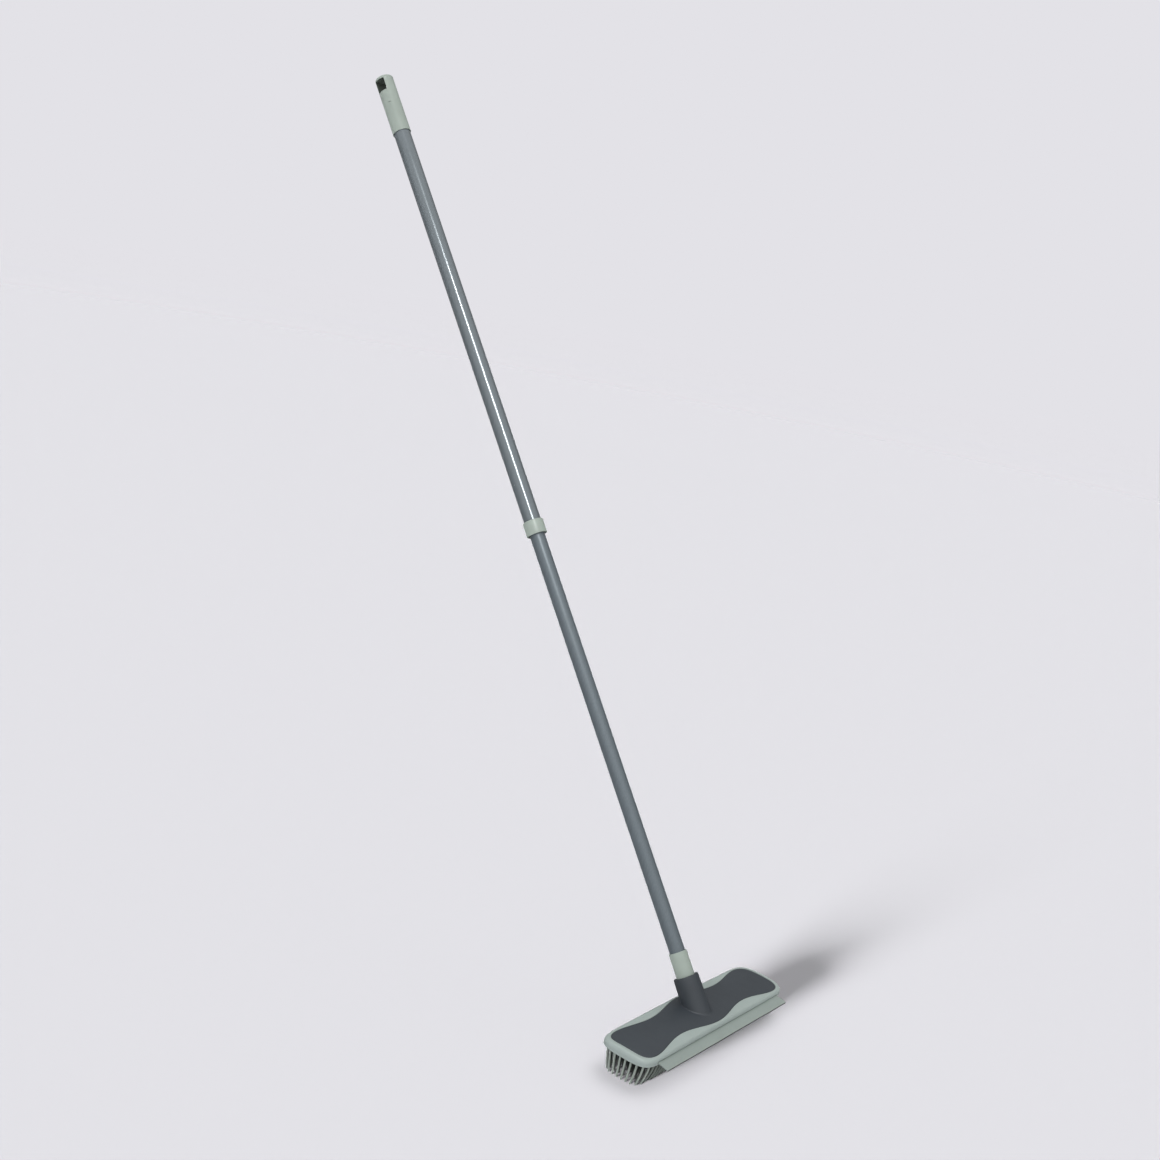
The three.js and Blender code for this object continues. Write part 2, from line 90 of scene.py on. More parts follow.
# Socket on the cover and the adapter in it, along the pole
SOCKET_MOUTH = 43
SOCKET_MOUTH_RADIUS = 14.9
SOCKET_LIP = 0.6
SOCKET_BASE = -9
SOCKET_BASE_RADIUS = 16.2
SOCKET_FILLET = 1.2
SOCKET_FRONT_FILLET = 1.5  # added in front, where the socket leans away from the cover
SOCKET_STATION_WIDTH = 30  # spreads the stations of the cover's outline round the socket
SOCKET_BORE_END = 14.6
BORE_CLEARANCE = 0.35
ADAPTER_RADIUS = 10.9
ADAPTER_SHOULDER = 38.4
ADAPTER_TOP = 71.9
ADAPTER_PLUG_END = 98
THREAD_CREST = 10
THREAD_ROOT = 8.7
THREAD_PITCH = 5
THREAD_START = 17
THREAD_RIDGES = 4
THREAD_FLANK = 1.2
THREAD_FLAT = 1.0

# Rubber fingers: one ring round the edge of the pad, rows inside it, one more near each corner
PAD_BOTTOM = 27.4
PAD_EDGE = 0.4
RING_FINGERS = 92
RING_INSET = 4.2
INNER_ROWS = 7
INNER_COLUMNS = 37
INNER_PITCH_ACROSS = 7.1
INNER_PITCH_ALONG = 7.6
CORNER_FINGER_X = 129.5
CORNER_FINGER_Y = 25.2
FINGER_ROOT_RADIUS = 1.35
FINGER_TIP_RADIUS = 1.0
FINGER_NOSE = 0.6  # the height of its round end
FINGER_FOOT_FILLET = 0.7
FINGER_FOOT_FADE = 28
FINGER_BEND_POWER = 1.7
FINGER_LEAN = 0.85  # the tip's share of its root's distance from the middle line
FINGER_FRONT_SWEEP = 3.5  # back towards the middle, at the front edge
FINGER_STRAY = 0.3

# Squeegee blade, which slopes forwards and down from the shell's front edge
BLADE_HALF_LENGTH = 127
BLADE_ROOT = Vector((0, -HEAD_HALF_WIDTH, 29.35))
BLADE_FALL = Vector((0, -13.7, -2.2))  # from its root to its free edge
BLADE_REACH = BLADE_FALL.length
BLADE_OUT = BLADE_FALL.normalized()
BLADE_UP = BLADE_OUT.cross(Vector((1, 0, 0)))
BLADE_THICKNESS = 1.8
BLADE_ROOT_DEPTH = 1.2
BLADE_WAIST = 0.15
BLADE_ARCH = 0.35
BLADE_ROUNDING = 0.2
BLADE_CHAMFER = 0.3
BLADE_END_SIZE = 0.9  # of its section, past the chamfer
BLADE_RIPPLE = 0.18
BLADE_FINE_RIPPLE = 0.1
BLADE_HEADROOM = 0.9  # of its groove in the shell

# Tubes, collar and cap, along the pole
TUBE_WALL = 0.7
TUBE_EDGE = 0.2
LOWER_RADIUS = 9.3
LOWER_TUBE_START = 49
LOWER_TUBE_END = 655
UPPER_RADIUS = 10.7
UPPER_TUBE_START = 599
UPPER_TUBE_END = 1183
COLLAR_BOTTOM = 594.5
COLLAR_TOP = 612.5
COLLAR_RADIUS = 12.8
COLLAR_BORE = 9.5
CAP_BOTTOM = 1149
CAP_TOP = 1229
CAP_RADIUS = 11.9
CAP_EDGE = 3.2
CAP_BEAD = 0.35
HANG_HOLE_HEIGHT = 16.5
HANG_HOLE_WIDTH = 14.5
HANG_HOLE_TOP = 1224.8
HANG_HOLE_EDGE = 0.6
MARK_HEIGHT = 1190
MARK_HALF_WIDTH = 2.1
MARK_HALF_HEIGHT = 0.6
MARK_DEPTH = 1.1
MARK_TURN = math.radians(-153)

# ---------------------------------------------------------------- camera, light and stage

CAMERA_PLACE = (-1.4240, -0.7365, 0.8687)
CAMERA_TURN = math.radians(-54.458)
CAMERA_DOWN = math.radians(12.767)
CAMERA_ROLL = math.radians(11.007)

BACKDROP = (0.768, 0.760, 0.800)
FLOOR_COLOUR = (0.09705, 0.09594, 0.10092)
FLOOR_HALF_SIZE = 60
FLOOR_FADES_FROM = 5
FLOOR_FADES_TO = 14

GLOW_FROM = (-0.42, -0.09, 0.9)
BRIGHT_GLOW = 1.5
DIM_GLOW = 0.3
BRIGHT_WITHIN = 0.75  # cosines of the angle from there
DIM_BEYOND = -0.05

STRIP_MIRRORED_AT = 890 * MM  # along the pole, in the middle of the upper tube
STRIP_AWAY = Vector((-0.814, -0.552, 1.128))
STRIP_LOWERED = 0.26


def link(thing):
    bpy.context.scene.collection.objects.link(thing)
    return thing


def add_camera():
    data = bpy.data.cameras.new("camera")
    data.sensor_width = 36
    data.lens = 46.47
    camera = link(bpy.data.objects.new("camera", data))
    turn = Matrix.Rotation(CAMERA_TURN, 4, "Z")
    pitch = Matrix.Rotation(math.pi / 2 - CAMERA_DOWN, 4, "X")
    roll = Matrix.Rotation(CAMERA_ROLL, 4, "Z")
    camera.matrix_world = Matrix.Translation(CAMERA_PLACE) @ turn @ pitch @ roll
    bpy.context.scene.camera = camera


def add_floor():
    half = FLOOR_HALF_SIZE
    mesh = bpy.data.meshes.new("floor")
    corners = [(-half, -half, 0), (half, -half, 0), (half, half, 0), (-half, half, 0)]
    mesh.from_pydata(corners, [], [(0, 1, 2, 3)])
    floor = link(bpy.data.objects.new("floor", mesh))
    paint = bpy.data.materials.new("floor")
    paint.use_nodes = True
    shader = paint.node_tree.nodes["Principled BSDF"]
    shader.inputs["Base Color"].default_value = (*FLOOR_COLOUR, 1)
    shader.inputs["Roughness"].default_value = 1
    shader.inputs["Specular IOR Level"].default_value = 0
    fade_out(paint.node_tree, shader)
    mesh.materials.append(paint)
    floor.visible_glossy = False  # what is glossy mirrors the dim part of the dome instead
    return floor


def fade_out(tree, shader):
    """Let the floor go over into the backdrop far from the broom, so that no horizon shows."""
    join = tree.links.new
    place = tree.nodes.new("ShaderNodeTexCoord")
    distance = tree.nodes.new("ShaderNodeVectorMath")
    distance.operation = "LENGTH"
    join(place.outputs["Object"], distance.inputs[0])
    far = tree.nodes.new("ShaderNodeMapRange")
    far.interpolation_type = "SMOOTHSTEP"
    far.inputs["From Min"].default_value = FLOOR_FADES_FROM
    far.inputs["From Max"].default_value = FLOOR_FADES_TO
    join(distance.outputs["Value"], far.inputs["Value"])
    clear = tree.nodes.new("ShaderNodeBsdfTransparent")
    mix = tree.nodes.new("ShaderNodeMixShader")
    join(far.outputs["Result"], mix.inputs["Fac"])
    join(shader.outputs["BSDF"], mix.inputs[1])
    join(clear.outputs["BSDF"], mix.inputs[2])
    join(mix.outputs["Shader"], tree.nodes["Material Output"].inputs["Surface"])


def add_sky():
    """A dome that glows high up on the camera's side and dims away from it, and an even backdrop."""
    world = bpy.data.worlds.new("studio")
    bpy.context.scene.world = world
    world.use_nodes = True
    nodes = world.node_tree.nodes
    join = world.node_tree.links.new
    backdrop = nodes["Background"]
    backdrop.inputs["Color"].default_value = (*BACKDROP, 1)
    direction = nodes.new("ShaderNodeTexCoord")
    along = nodes.new("ShaderNodeVectorMath")
    along.operation = "DOT_PRODUCT"
    along.inputs[1].default_value = Vector(GLOW_FROM).normalized()
    join(direction.outputs["Generated"], along.inputs[0])
    rise = nodes.new("ShaderNodeMapRange")
    rise.interpolation_type = "SMOOTHSTEP"
    rise.inputs["From Min"].default_value = DIM_BEYOND
    rise.inputs["From Max"].default_value = BRIGHT_WITHIN
    rise.inputs["To Min"].default_value = DIM_GLOW
    rise.inputs["To Max"].default_value = BRIGHT_GLOW
    join(along.outputs["Value"], rise.inputs["Value"])
    dome = nodes.new("ShaderNodeBackground")
    join(rise.outputs["Result"], dome.inputs["Strength"])
    seen = nodes.new("ShaderNodeLightPath")
    mix = nodes.new("ShaderNodeMixShader")
    join(seen.outputs["Is Camera Ray"], mix.inputs["Fac"])
    join(dome.outputs["Background"], mix.inputs[1])
    join(backdrop.outputs["Background"], mix.inputs[2])
    join(mix.outputs["Shader"], nodes["World Output"].inputs["Surface"])
    bpy.context.scene.view_settings.view_transform = "Standard"


def add_floor_sun(name, floor, energy, width, height, turn):
    """A wide sun that lights only the floor and draws one of the head's soft shadows. Its width,
    its height over the horizon and its turn from +X are in degrees."""
    sun = bpy.data.lights.new(name, "SUN")
    sun.energy = energy
    sun.angle = math.radians(width)
    lamp = link(bpy.data.objects.new(name, sun))
    height = math.radians(height)
    turn = math.radians(turn)
    level = math.cos(height)
    towards = Vector((level * math.cos(turn), level * math.sin(turn), math.sin(height)))
    lamp.rotation_euler = towards.to_track_quat("Z", "Y").to_euler()
    lit = bpy.data.collections.new(name + "_lights")
    lit.objects.link(floor)
    lamp.light_linking.receiver_collection = lit
    return lamp


def shade_floor(suns, pieces):
    """Let only these pieces stand in the floor suns' way, so that the pole casts no shadow."""
    casters = bpy.data.collections.new("floor_shade")
    for piece in pieces:
        casters.objects.link(piece)
    for sun in suns:
        sun.light_linking.blocker_collection = casters


def add_strip():
    """A narrow softbox over the camera, parallel to the pole: the streak down the upper tube."""
    strip = bpy.data.lights.new("strip", "AREA")
    strip.shape = "RECTANGLE"
    strip.size = 0.10
    strip.size_y = 0.66
    strip.energy = 15.5
    lamp = link(bpy.data.objects.new("strip", strip))
    mirrored = POLE_FOOT * MM + ALONG_POLE * STRIP_MIRRORED_AT
    place = mirrored + STRIP_AWAY - ALONG_POLE * STRIP_LOWERED
    forward = mirrored - place
    forward -= ALONG_POLE * forward.dot(ALONG_POLE)
    back = -forward.normalized()
    side = ALONG_POLE.cross(back)
    turn = Matrix((side, ALONG_POLE, back)).transposed().to_4x4()
    lamp.matrix_world = Matrix.Translation(place) @ turn
    lamp.visible_diffuse = False  # it only shows in what is glossy
    lamp.visible_camera = False


add_camera()
add_sky()
studio_floor = add_floor()
floor_suns = [
    add_floor_sun("low_sun", studio_floor, energy=124.94, width=13, height=6.8, turn=181.5),
    add_floor_sun("high_sun", studio_floor, energy=8.310, width=46, height=58, turn=14),
]
add_strip()

# ---------------------------------------------------------------- materials

# Painted shade: a vertex colour that darkens a piece's own colour where shade falls on it
PAINTED_SHADE = "deep"  # the vertex colour that darkens a piece's own colour

# Noise cells to the metre
CLOUDS = 22
MOULD_PATCHES = 60
MOULD_GRAIN = 1800
DRAW_LINES = 900
PAINT_PATCHES = 40
ORANGE_PEEL = 500
SCRATCHES = 700
METAL_PATCHES = 300
METAL_GRAIN = 1500


class Nodes:
    """A material's node tree, with short calls to add nodes and links."""

    def __init__(self, name):
        self.material = bpy.data.materials.new(name)
        self.material.use_nodes = True
        self.tree = self.material.node_tree
        self.shader = self.tree.nodes["Principled BSDF"]
        self.place = self.add("ShaderNodeTexCoord").outputs["Object"]

    def add(self, kind, **values):
        node = self.tree.nodes.new(kind)
        for key, value in values.items():
            setattr(node, key, value)
        return node

    def join(self, output, socket):
        self.tree.links.new(output, socket)

    def set(self, **values):
        """Set sockets of the shader that are the same all over, with _ for a space in a name."""
        for key, value in values.items():
            self.shader.inputs[key.replace("_", " ")].default_value = value

    def noise(self, cells, detail, stretch=None):
        """Noise of so many cells to the metre, stretched by a scale in X, Y and Z along the pole."""
        noise = self.add("ShaderNodeTexNoise")
        noise.inputs["Scale"].default_value = cells
        noise.inputs["Detail"].default_value = detail
        if stretch:
            mapping = self.add("ShaderNodeMapping")
            mapping.inputs["Rotation"].default_value = (TILT, 0, 0)
            mapping.inputs["Scale"].default_value = stretch
            self.join(self.place, mapping.inputs["Vector"])
            self.join(mapping.outputs["Vector"], noise.inputs["Vector"])
        else:
            self.join(self.place, noise.inputs["Vector"])
        return noise.outputs["Fac"]

    def spread(self, value, low, high):
        """A noise value, which is mostly near a half, spread to a range."""
        spread = self.add("ShaderNodeMapRange")
        spread.inputs["From Min"].default_value = 0.3
        spread.inputs["From Max"].default_value = 0.7
        spread.inputs["To Min"].default_value = low
        spread.inputs["To Max"].default_value = high
        self.join(value, spread.inputs["Value"])
        return spread.outputs["Result"]

    def colours(self, noise, colour, darker, lighter):
        """The colour times a factor that follows the noise."""
        mix = self.add("ShaderNodeMix", data_type="RGBA")
        mix.inputs["A"].default_value = (*shade(colour, darker), 1)
        mix.inputs["B"].default_value = (*shade(colour, lighter), 1)
        self.join(self.spread(noise, 0, 1), mix.inputs["Factor"])
        return mix.outputs["Result"]

    def gloss(self, noise, low, high):
        self.join(self.spread(noise, low, high), self.shader.inputs["Roughness"])

    def bump(self, height, depth):
        """Relief so many millimetres deep."""
        bump = self.add("ShaderNodeBump")
        bump.inputs["Distance"].default_value = depth * MM
        bump.inputs["Strength"].default_value = 1
        self.join(height, bump.inputs["Height"])
        self.join(bump.outputs["Normal"], self.shader.inputs["Normal"])


def srgb(*colour):
    """Linear colour of an sRGB colour given in 0 to 255."""
    parts = [value / 255 for value in colour]
    return tuple(c / 12.92 if c <= 0.04045 else ((c + 0.055) / 1.055) ** 2.4 for c in parts)


def shade(colour, factor):
    return tuple(min(1, c * factor) for c in colour)


def moulded(name, colour, roughness, specular=0.5, variation=0.05, shaded=False):
    """Moulded plastic or rubber: a fine spark-eroded grain, faint cloudy colour, uneven gloss, and
    the shade that is painted on the mesh where it has one."""
    nodes = Nodes(name)
    colours = nodes.colours(nodes.noise(CLOUDS, 4), colour, 1 - variation, 1 + variation)
    if shaded:
        painted_shade_colour = nodes.add("ShaderNodeAttribute", attribute_name=PAINTED_SHADE)
        both = nodes.add("ShaderNodeMix", data_type="RGBA", blend_type="MULTIPLY")
        both.inputs["Factor"].default_value = 1
        nodes.join(colours, both.inputs["A"])
        nodes.join(painted_shade_colour.outputs["Color"], both.inputs["B"])
        colours = both.outputs["Result"]
    nodes.join(colours, nodes.shader.inputs["Base Color"])
    nodes.gloss(nodes.noise(MOULD_PATCHES, 3), roughness - 0.05, roughness + 0.05)
    nodes.set(Specular_IOR_Level=specular)
    nodes.bump(nodes.noise(MOULD_GRAIN, 2), 0.02)
    return nodes.material


def tube_paint(name, colour, roughness, coat):
    """Smooth coating on a steel tube, with faint draw lines along it and an orange-peel skin."""
    nodes = Nodes(name)
    lines = nodes.noise(DRAW_LINES, 2, stretch=(1, 1, 0.01))
    nodes.join(nodes.colours(lines, colour, 0.93, 1.07), nodes.shader.inputs["Base Color"])
    nodes.gloss(nodes.noise(PAINT_PATCHES, 3), roughness - 0.03, roughness + 0.04)
    nodes.set(Metallic=0.25, Coat_Weight=coat, Coat_Roughness=0.1)
    nodes.bump(nodes.noise(ORANGE_PEEL, 2), 0.006)
    return nodes.material


def metal(name, colour, roughness):
    nodes = Nodes(name)
    scratches = nodes.noise(SCRATCHES, 3)
    nodes.join(nodes.colours(scratches, colour, 0.85, 1.1), nodes.shader.inputs["Base Color"])
    nodes.gloss(nodes.noise(METAL_PATCHES, 2), roughness - 0.08, roughness + 0.08)
    nodes.set(Metallic=1)
    nodes.bump(nodes.noise(METAL_GRAIN, 2), 0.01)
    return nodes.material


SHELL = moulded("sage_shell", srgb(162, 174, 170), 0.42)
GROOVE_SHADE = moulded("sage_groove_shade", srgb(62, 68, 64), 0.8, specular=0.2)
COVER = moulded("dark_cover", srgb(56, 62, 68), 0.48, specular=0.45, variation=0.07)
RUBBER = moulded("sage_rubber", srgb(158, 168, 160), 0.62, specular=0.35, shaded=True)
BLADE = moulded("sage_blade", srgb(146, 157, 152), 0.58, specular=0.4, shaded=True)
FITTINGS = moulded("sage_fittings", srgb(163, 175, 166), 0.38)
UPPER_TUBE = tube_paint("upper_tube_paint", srgb(107, 116, 121), 0.24, 0.55)
LOWER_TUBE = tube_paint("lower_tube_paint", srgb(102, 112, 118), 0.42, 0.12)
CAP_WINDOW_SHADE = moulded("cap_window_shade", srgb(88, 97, 88), 0.6)
STEEL = metal("screw_steel", (0.6, 0.6, 0.61), 0.35)
NYLON = moulded("natural_nylon", srgb(220, 217, 205), 0.45)
BLACK_RUBBER = moulded("black_rubber", srgb(38, 39, 41), 0.7)

# ---------------------------------------------------------------- meshes

SHARP = math.radians(38)
RUBBER_SHARP = math.radians(50)


def mesh_of(name, solid, merge=False):
    """A mesh with outward faces from a solid's (vertices, faces) in millimetres."""
    vertices, faces = solid
    mesh = bpy.data.meshes.new(name)
    mesh.from_pydata((np.array(vertices) * MM).tolist(), [], faces)
    edit = bmesh.new()
    edit.from_mesh(mesh)
    if merge:
        bmesh.ops.remove_doubles(edit, verts=edit.verts, dist=1e-7)
    bmesh.ops.recalc_face_normals(edit, faces=edit.faces)
    edit.to_mesh(mesh)
    edit.free()
    return mesh


def finish_edges(mesh, sharp=SHARP):
    mesh.polygons.foreach_set("use_smooth", [True] * len(mesh.polygons))
    mesh.set_sharp_from_angle(angle=sharp)


def add_piece(name, solid, material, body, node, sharp=SHARP):
    """A shown piece of the broom, which stands for a CAD node and rides on a body."""
    mesh = mesh_of(name, solid, merge=True)
    finish_edges(mesh, sharp)
    mesh.materials.append(material)
    piece = link(bpy.data.objects.new(name, mesh))
    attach(piece, body)
    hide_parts(node)
    return piece


def band_faces(levels, count, closed=False):
    """Quads between neighbouring rings of so many points, and from the last to the first."""
    faces = []
    for level in range(levels if closed else levels - 1):
        low = level * count
        high = (level + 1) % levels * count
        for i in range(count):
            j = (i + 1) % count
            faces.append((low + i, low + j, high + j, high + i))
    return faces


def skin(rings):
    """A solid through closed rings of equal counts, with a fan over each end."""
    count = len(rings[0])
    last = len(rings) - 1
    vertices = [tuple(point) for level in rings for point in level]
    faces = band_faces(len(rings), count)
    for end in (0, last):
        hub = len(vertices)
        first = end * count
        vertices.append(tuple(np.mean(np.array(rings[end]), axis=0)))
        faces += [(hub, first + (i + 1) % count, first + i) for i in range(count)]
    return vertices, faces


def joined(solids):
    """A few solids as one, still loose from each other."""
    vertices = []
    faces = []
    for some_vertices, some_faces in solids:
        start = len(vertices)
        vertices += [tuple(vertex) for vertex in some_vertices]
        faces += [tuple(start + i for i in face) for face in some_faces]
    return vertices, faces


def box(x_ends, y_ends, z_ends):
    """A box between two places on each axis."""
    corners = [(x, y, z) for x in x_ends for y in y_ends for z in z_ends]
    faces = [(0, 1, 3, 2), (4, 6, 7, 5), (0, 4, 5, 1), (2, 3, 7, 6), (0, 2, 6, 4), (1, 5, 7, 3)]
    return corners, faces


def ring(x, y, z):
    return np.stack([x, y, np.broadcast_to(z, x.shape)], axis=1)


def circle(radius, height, sides):
    angles = np.arange(sides) * 2 * math.pi / sides
    return ring(radius * np.cos(angles), radius * np.sin(angles), height)


def upright(profile, x, y, sides=24):
    """A solid turned about an upright axis, from its profile of (radius, height)."""
    return skin([circle(radius, height, sides) + (x, y, 0) for radius, height in profile])


def onto_pole(points):
    """Points drawn along the pole's own +Z, moved to where the pole stands."""
    x, y, z = np.array(points, dtype=float).T
    turned_y = y * math.cos(TILT) + z * math.sin(TILT)
    turned_z = -y * math.sin(TILT) + z * math.cos(TILT)
    return ring(x + POLE_FOOT.x, turned_y + POLE_FOOT.y, turned_z + POLE_FOOT.z)


def around_pole(radius, angles, height):
    """One point for each angle round the pole, each at its own radius and height."""
    return onto_pole(ring(radius * np.cos(angles), radius * np.sin(angles), height))


def turned(profile, sides=128):
    """Rings round the pole's axis from a profile of (radius, height)."""
    return [onto_pole(circle(radius, height, sides)) for radius, height in profile]


def closed_lathe(profile, sides=128):
    """A ring-shaped solid round the pole's axis, from a profile that closes on itself."""
    vertices = [tuple(point) for level in turned(profile, sides) for point in level]
    return vertices, band_faces(len(profile), sides, closed=True)


def arc(centre_radius, centre_height, radius, start, end, steps=6):
    """Points of a rounded edge in a profile, by angle in degrees."""
    angles = np.radians(np.linspace(start, end, steps))
    return [(centre_radius + radius * math.cos(a), centre_height + radius * math.sin(a)) for a in angles]


def cut(piece, solid, materials=(), operation="DIFFERENCE"):
    """Cut a piece by a solid, or join the two. The cut faces get the last of the materials."""
    tool = link(bpy.data.objects.new("cutter", mesh_of("cutter", solid)))
    for material in materials:
        tool.data.materials.append(material)
    last = max(0, len(materials) - 1)
    tool.data.polygons.foreach_set("material_index", [last] * len(tool.data.polygons))
    modifier = piece.modifiers.new("cut", "BOOLEAN")
    modifier.object = tool
    modifier.operation = operation
    modifier.solver = "EXACT"
    shaped = piece.evaluated_get(bpy.context.evaluated_depsgraph_get())
    mesh = bpy.data.meshes.new_from_object(shaped)
    piece.modifiers.clear()
    piece.data = mesh
    bpy.data.objects.remove(tool)


# ---------------------------------------------------------------- the head's outlines


def superellipse(share, power, other_power):
    """The share across that goes with a share along, or the other way round."""
    return (1 - share**power) ** (1 / other_power)


def quarter_stations(count):
    """Even steps round a quarter of the head's outline, from the end to the middle of the side:
    each is a share of the half-length and a share of the half-width."""
    corner = 0.94  # the share across where the samples go over from the end to the side
    end_part = np.linspace(0, corner, 500, endpoint=False)
    end_share = superellipse(end_part, HEAD_SIDE_POWER, HEAD_END_POWER)
    side_share = np.linspace(superellipse(corner, HEAD_SIDE_POWER, HEAD_END_POWER), 0, 1500)
    side_part = superellipse(side_share, HEAD_END_POWER, HEAD_SIDE_POWER)
    along = np.concatenate([end_share, side_share])
    across = np.concatenate([end_part, side_part])
    travelled = distances(along * HEAD_HALF_LENGTH, across * HEAD_HALF_WIDTH)
    even = np.linspace(0, travelled[-1], count + 1)
    return np.interp(even, travelled, along), np.interp(even, travelled, across)


def distances(x, y):
    """How far each point of a line lies along it."""
    return np.concatenate([[0], np.cumsum(np.hypot(np.diff(x), np.diff(y)))])


def closed_stations(count_per_quarter=90):
    """The quarter mirrored into the whole outline, starting at +X and going round by the back."""
    along, across = quarter_stations(count_per_quarter)
    half_along = np.concatenate([along, -along[-2::-1]])
    half_across = np.concatenate([across, across[-2::-1]])
    whole_along = np.concatenate([half_along, half_along[-2:0:-1]])
    whole_across = np.concatenate([half_across, -half_across[-2:0:-1]])
    return whole_along, whole_across


ALONG, ACROSS = closed_stations()


def head_outline(inset):
    return ALONG * (HEAD_HALF_LENGTH - inset), ACROSS * (HEAD_HALF_WIDTH - inset)


def half_width(x):
    """Half the cover's width before its ends round off."""
    return COVER_HALF_WIDTH + COVER_WAVE * np.cos(2 * math.pi * x / COVER_WAVE_LENGTH)


def cover_outline(margin):
    x = ALONG * (COVER_HALF_LENGTH + margin)
    # the cover's own roundness, at the same share of the length as on the head
    inside = np.clip(1 - np.abs(ALONG) ** COVER_END_POWER, 0, 1)
    return x, np.sign(ACROSS) * (half_width(x) + margin) * inside ** (1 / COVER_SIDE_POWER)


def crown(x, y):
    """Height of the head's crowned top."""
    along = CROWN_DROP_ALONG * (x / HEAD_HALF_LENGTH) ** 2
    across = CROWN_DROP_ACROSS * (y / HEAD_HALF_WIDTH) ** 2
    return CROWN_TOP - along - across


# ---------------------------------------------------------------- shell


def on_blade(x, out, up):
    """A place by the blade: along the head, out from its root and up from its middle plane."""
    return Vector((x, 0, 0)) + BLADE_ROOT + BLADE_OUT * out + BLADE_UP * up


def blade_groove():
    """A plain block round the blade, with more room above it."""
    half = BLADE_HALF_LENGTH + GAP
    inner_end = -BLADE_ROOT_DEPTH - GAP
    below = -BLADE_THICKNESS / 2 - GAP
    above = BLADE_THICKNESS / 2 + BLADE_HEADROOM
    corners, faces = box((-half, half), (inner_end, BLADE_REACH), (below, above))
    return [on_blade(*corner) for corner in corners], faces


def shell_rings():
    """Round the head's outline from the pocket under it, over the rim, to the recess on top."""
    edge = RIM_EDGE
    profile = [(RIM_WALL, FLOOR_BOTTOM), (RIM_WALL, RIM_BOTTOM + edge)]
    for angle in np.radians([30, 60, 90]):
        inset = RIM_WALL - edge * (1 - math.cos(angle))
        profile.append((inset, RIM_BOTTOM + edge * (1 - math.sin(angle))))
    for angle in np.radians([90, 60, 30, 0]):
        inset = edge * (1 - math.cos(angle))
        profile.append((inset, RIM_BOTTOM + edge * (1 - math.sin(angle))))
    # a fine groove over the lip that the rim stands on
    lip_top = RIM_BOTTOM + 1.3
    groove = 0.22
    profile += [(0, lip_top - 0.3), (groove, lip_top), (groove, lip_top + 0.25)]
    profile += [(0.05, lip_top + 0.6), (0, RIM_SHOULDER)]
    rings = [ring(*head_outline(inset), height) for inset, height in profile]

    for angle in np.radians(np.linspace(9, 90, 10)):
        x, y = head_outline(RIM_WIDTH * (1 - math.cos(angle)))
        rings.append(ring(x, y, RIM_SHOULDER + (crown(x, y) - RIM_SHOULDER) * math.sin(angle)))
    rim_x, rim_y = head_outline(RIM_WIDTH)
    recess_x, recess_y = cover_outline(SEAM + 0.3)
    for share in (0.2, 0.4, 0.6, 0.8, 1):
        x = rim_x + (recess_x - rim_x) * share
        y = rim_y + (recess_y - rim_y) * share
        rings.append(ring(x, y, crown(x, y)))
    # the recess starts with a small rounding, then goes straight down to its floor
    for margin, sunk in ((0.1, 0.08), (0, 0.3)):
        x, y = cover_outline(SEAM + margin)
        rings.append(ring(x, y, crown(x, y) - sunk))
    rings.append(ring(x, y, COVER_BOTTOM - GAP))
    return rings


def add_shell():
    piece = add_piece("shell", skin(shell_rings()), SHELL, "head", "head_shell")
    past = 1  # beyond the faces that a hole goes through
    screw_hole = [
        (SCREW_HEAD_RADIUS + GAP, FLOOR_BOTTOM - past),
        (SCREW_HEAD_RADIUS + GAP, SCREW_HEAD_TOP + GAP),
        (SCREW_RADIUS + GAP, SCREW_HEAD_TOP + GAP),
        (SCREW_RADIUS + GAP, BOSS_BOTTOM - GAP),
        (BOSS_RADIUS + GAP, BOSS_BOTTOM - GAP),
        (BOSS_RADIUS + GAP, COVER_BOTTOM + past),
    ]
    holes = [blade_groove()] + [upright(screw_hole, x, y) for x, y in SCREW_PLACES]
    # The holes and the blade's groove get a dark material: painted shade in these recesses
    piece.data.materials.append(GROOVE_SHADE)
    cut(piece, joined(holes), [SHELL, GROOVE_SHADE])
    finish_edges(piece.data)
    return piece


# ---------------------------------------------------------------- cover with its socket


def thread_profile(margin):
    """The thread's ridges as (radius, height), with a margin for the socket round them."""
    profile = []
    for ridge in range(THREAD_RIDGES):
        start = THREAD_START + ridge * THREAD_PITCH
        crest_start = start + THREAD_FLANK
        crest_end = crest_start + THREAD_FLAT
        end = crest_end + THREAD_FLANK
        profile.append((THREAD_ROOT + margin, start - margin / 2))
        profile.append((THREAD_CREST + margin, crest_start - margin / 2))
        profile.append((THREAD_CREST + margin, crest_end + margin / 2))
        profile.append((THREAD_ROOT + margin, end + margin / 2))
    return profile


def socket_radius(height):
    share = (height - SOCKET_BASE) / (SOCKET_MOUTH - SOCKET_BASE)
    return SOCKET_BASE_RADIUS + (SOCKET_MOUTH_RADIUS - SOCKET_BASE_RADIUS) * share


def bore_profile():
    """From the socket's rounded lip down its bore, past the thread's grooves, to its end."""
    lip = SOCKET_LIP
    bore = ADAPTER_RADIUS + BORE_CLEARANCE
    profile = []
    for angle in np.radians([30, 60, 90]):
        radius = socket_radius(SOCKET_MOUTH - lip) - lip * (1 - math.cos(angle))
        profile.append((radius, SOCKET_MOUTH - lip * (1 - math.sin(angle))))
    profile += [(bore + 0.4, SOCKET_MOUTH), (bore + 0.1, SOCKET_MOUTH - 0.12)]
    profile += [(bore, SOCKET_MOUTH - 0.4), (bore, ADAPTER_SHOULDER - BORE_CLEARANCE)]
    profile += reversed(thread_profile(BORE_CLEARANCE))
    profile.append((THREAD_ROOT + BORE_CLEARANCE, SOCKET_BORE_END))
    return profile


